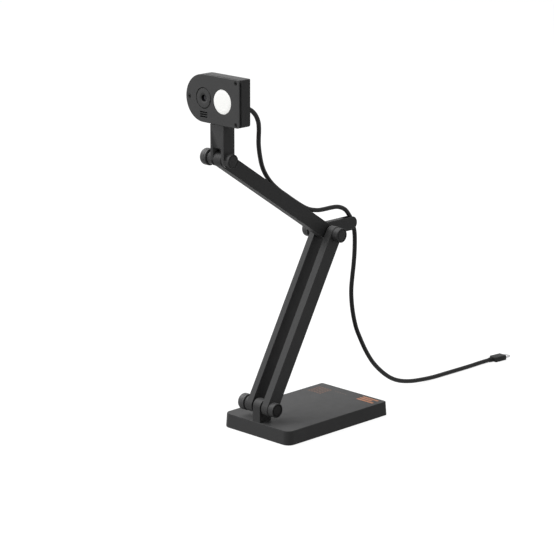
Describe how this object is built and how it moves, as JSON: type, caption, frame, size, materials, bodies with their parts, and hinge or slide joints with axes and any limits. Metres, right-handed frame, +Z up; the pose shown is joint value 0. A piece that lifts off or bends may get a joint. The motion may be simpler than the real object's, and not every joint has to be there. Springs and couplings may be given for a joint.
{
  "type": "document camera",
  "caption": "Desk document camera: a flat head with a lens and a round light on two folding arms with clamping knobs, over a weighted base, with a cable.",
  "frame": {"origin": "the middle of the base's underside, on the surface that the camera stands on", "axes": "+X along the hinge pins, away from the clamping knobs; the lens looks along -Y at rest; +Z up"},
  "size_m": [0.09, 0.4244, 0.356],
  "materials": {
    "shell_grey": "matte",
    "arm_grey": "matte",
    "knob_black": "satin",
    "head_grey": "matte",
    "lens_black": "satin",
    "lens_glass": "gloss",
    "light_white": "matte",
    "board_green": "satin",
    "chip_black": "satin",
    "steel": "satin",
    "zinc": "matte",
    "bush_white": "satin",
    "pad_rubber": "matte",
    "cable_black": "satin"
  },
  "bodies": {
    "base": {"base_shell": "shell_grey", "base_bottom_plate": "shell_grey", "base_weight": "zinc", "base_pad": "pad_rubber", "base_screw_1": "steel", "base_screw_2": "steel", "base_screw_3": "steel", "base_screw_4": "steel", "foot_bush": "bush_white", "cord_drop": "cable_black", "usb_plug": "cable_black", "usb_shell": "steel", "usb_tongue": "chip_black"},
    "lower_arm": {"lower_bar_left": "arm_grey", "lower_bar_right": "arm_grey", "foot_washer_left": "chip_black", "foot_washer_right": "chip_black", "foot_pin": "steel", "foot_end_cap": "knob_black", "elbow_washer_left": "chip_black", "elbow_washer_right": "chip_black", "elbow_pin": "steel", "elbow_end_cap": "knob_black"},
    "foot_knob": {"foot_knob": "knob_black"},
    "elbow_knob": {"elbow_knob": "knob_black"},
    "upper_arm": {"upper_arm_bar": "arm_grey", "elbow_bush": "bush_white", "wrist_bush": "bush_white", "cord_elbow": "cable_black"},
    "head": {"head_housing": "head_grey", "front_cover": "head_grey", "cover_screw_1": "steel", "cover_screw_2": "steel", "cover_screw_3": "steel", "lens_bezel": "head_grey", "lens_glass": "lens_glass", "lens_barrel": "lens_black", "image_sensor": "chip_black", "light_diffuser": "light_white", "lamp_board": "board_green", "main_board": "board_green", "microphone": "chip_black", "wrist_pin": "steel", "wrist_end_cap": "knob_black", "strain_relief": "pad_rubber", "cord_head": "cable_black"},
    "wrist_knob": {"wrist_knob": "knob_black"}
  },
  "joints": [
    {"name": "foot_hinge", "type": "hinge", "parent": "base", "child": "lower_arm", "pos_m": [0, -0.06065, 0.0288], "axis": [1, 0, 0], "range_deg": [-36, 35], "deforming": ["cord_drop"]},
    {"name": "elbow_hinge", "type": "hinge", "parent": "lower_arm", "child": "upper_arm", "pos_m": [0, 0.02719, 0.18534], "axis": [1, 0, 0], "range_deg": [-80, 60], "deforming": ["cord_elbow"]},
    {"name": "wrist_hinge", "type": "hinge", "parent": "upper_arm", "child": "head", "pos_m": [0, -0.1115, 0.27818], "axis": [1, 0, 0], "range_deg": [-45, 110], "deforming": ["cord_head"]},
    {"name": "foot_knob_turn", "type": "hinge", "parent": "lower_arm", "child": "foot_knob", "pos_m": [0, -0.06065, 0.0288], "axis": [-1, 0, 0], "range_deg": [0, 270]},
    {"name": "elbow_knob_turn", "type": "hinge", "parent": "lower_arm", "child": "elbow_knob", "pos_m": [0, 0.02719, 0.18534], "axis": [-1, 0, 0], "range_deg": [0, 270]},
    {"name": "wrist_knob_turn", "type": "hinge", "parent": "head", "child": "wrist_knob", "pos_m": [0, -0.1115, 0.27818], "axis": [-1, 0, 0], "range_deg": [0, 270]}
  ]
}
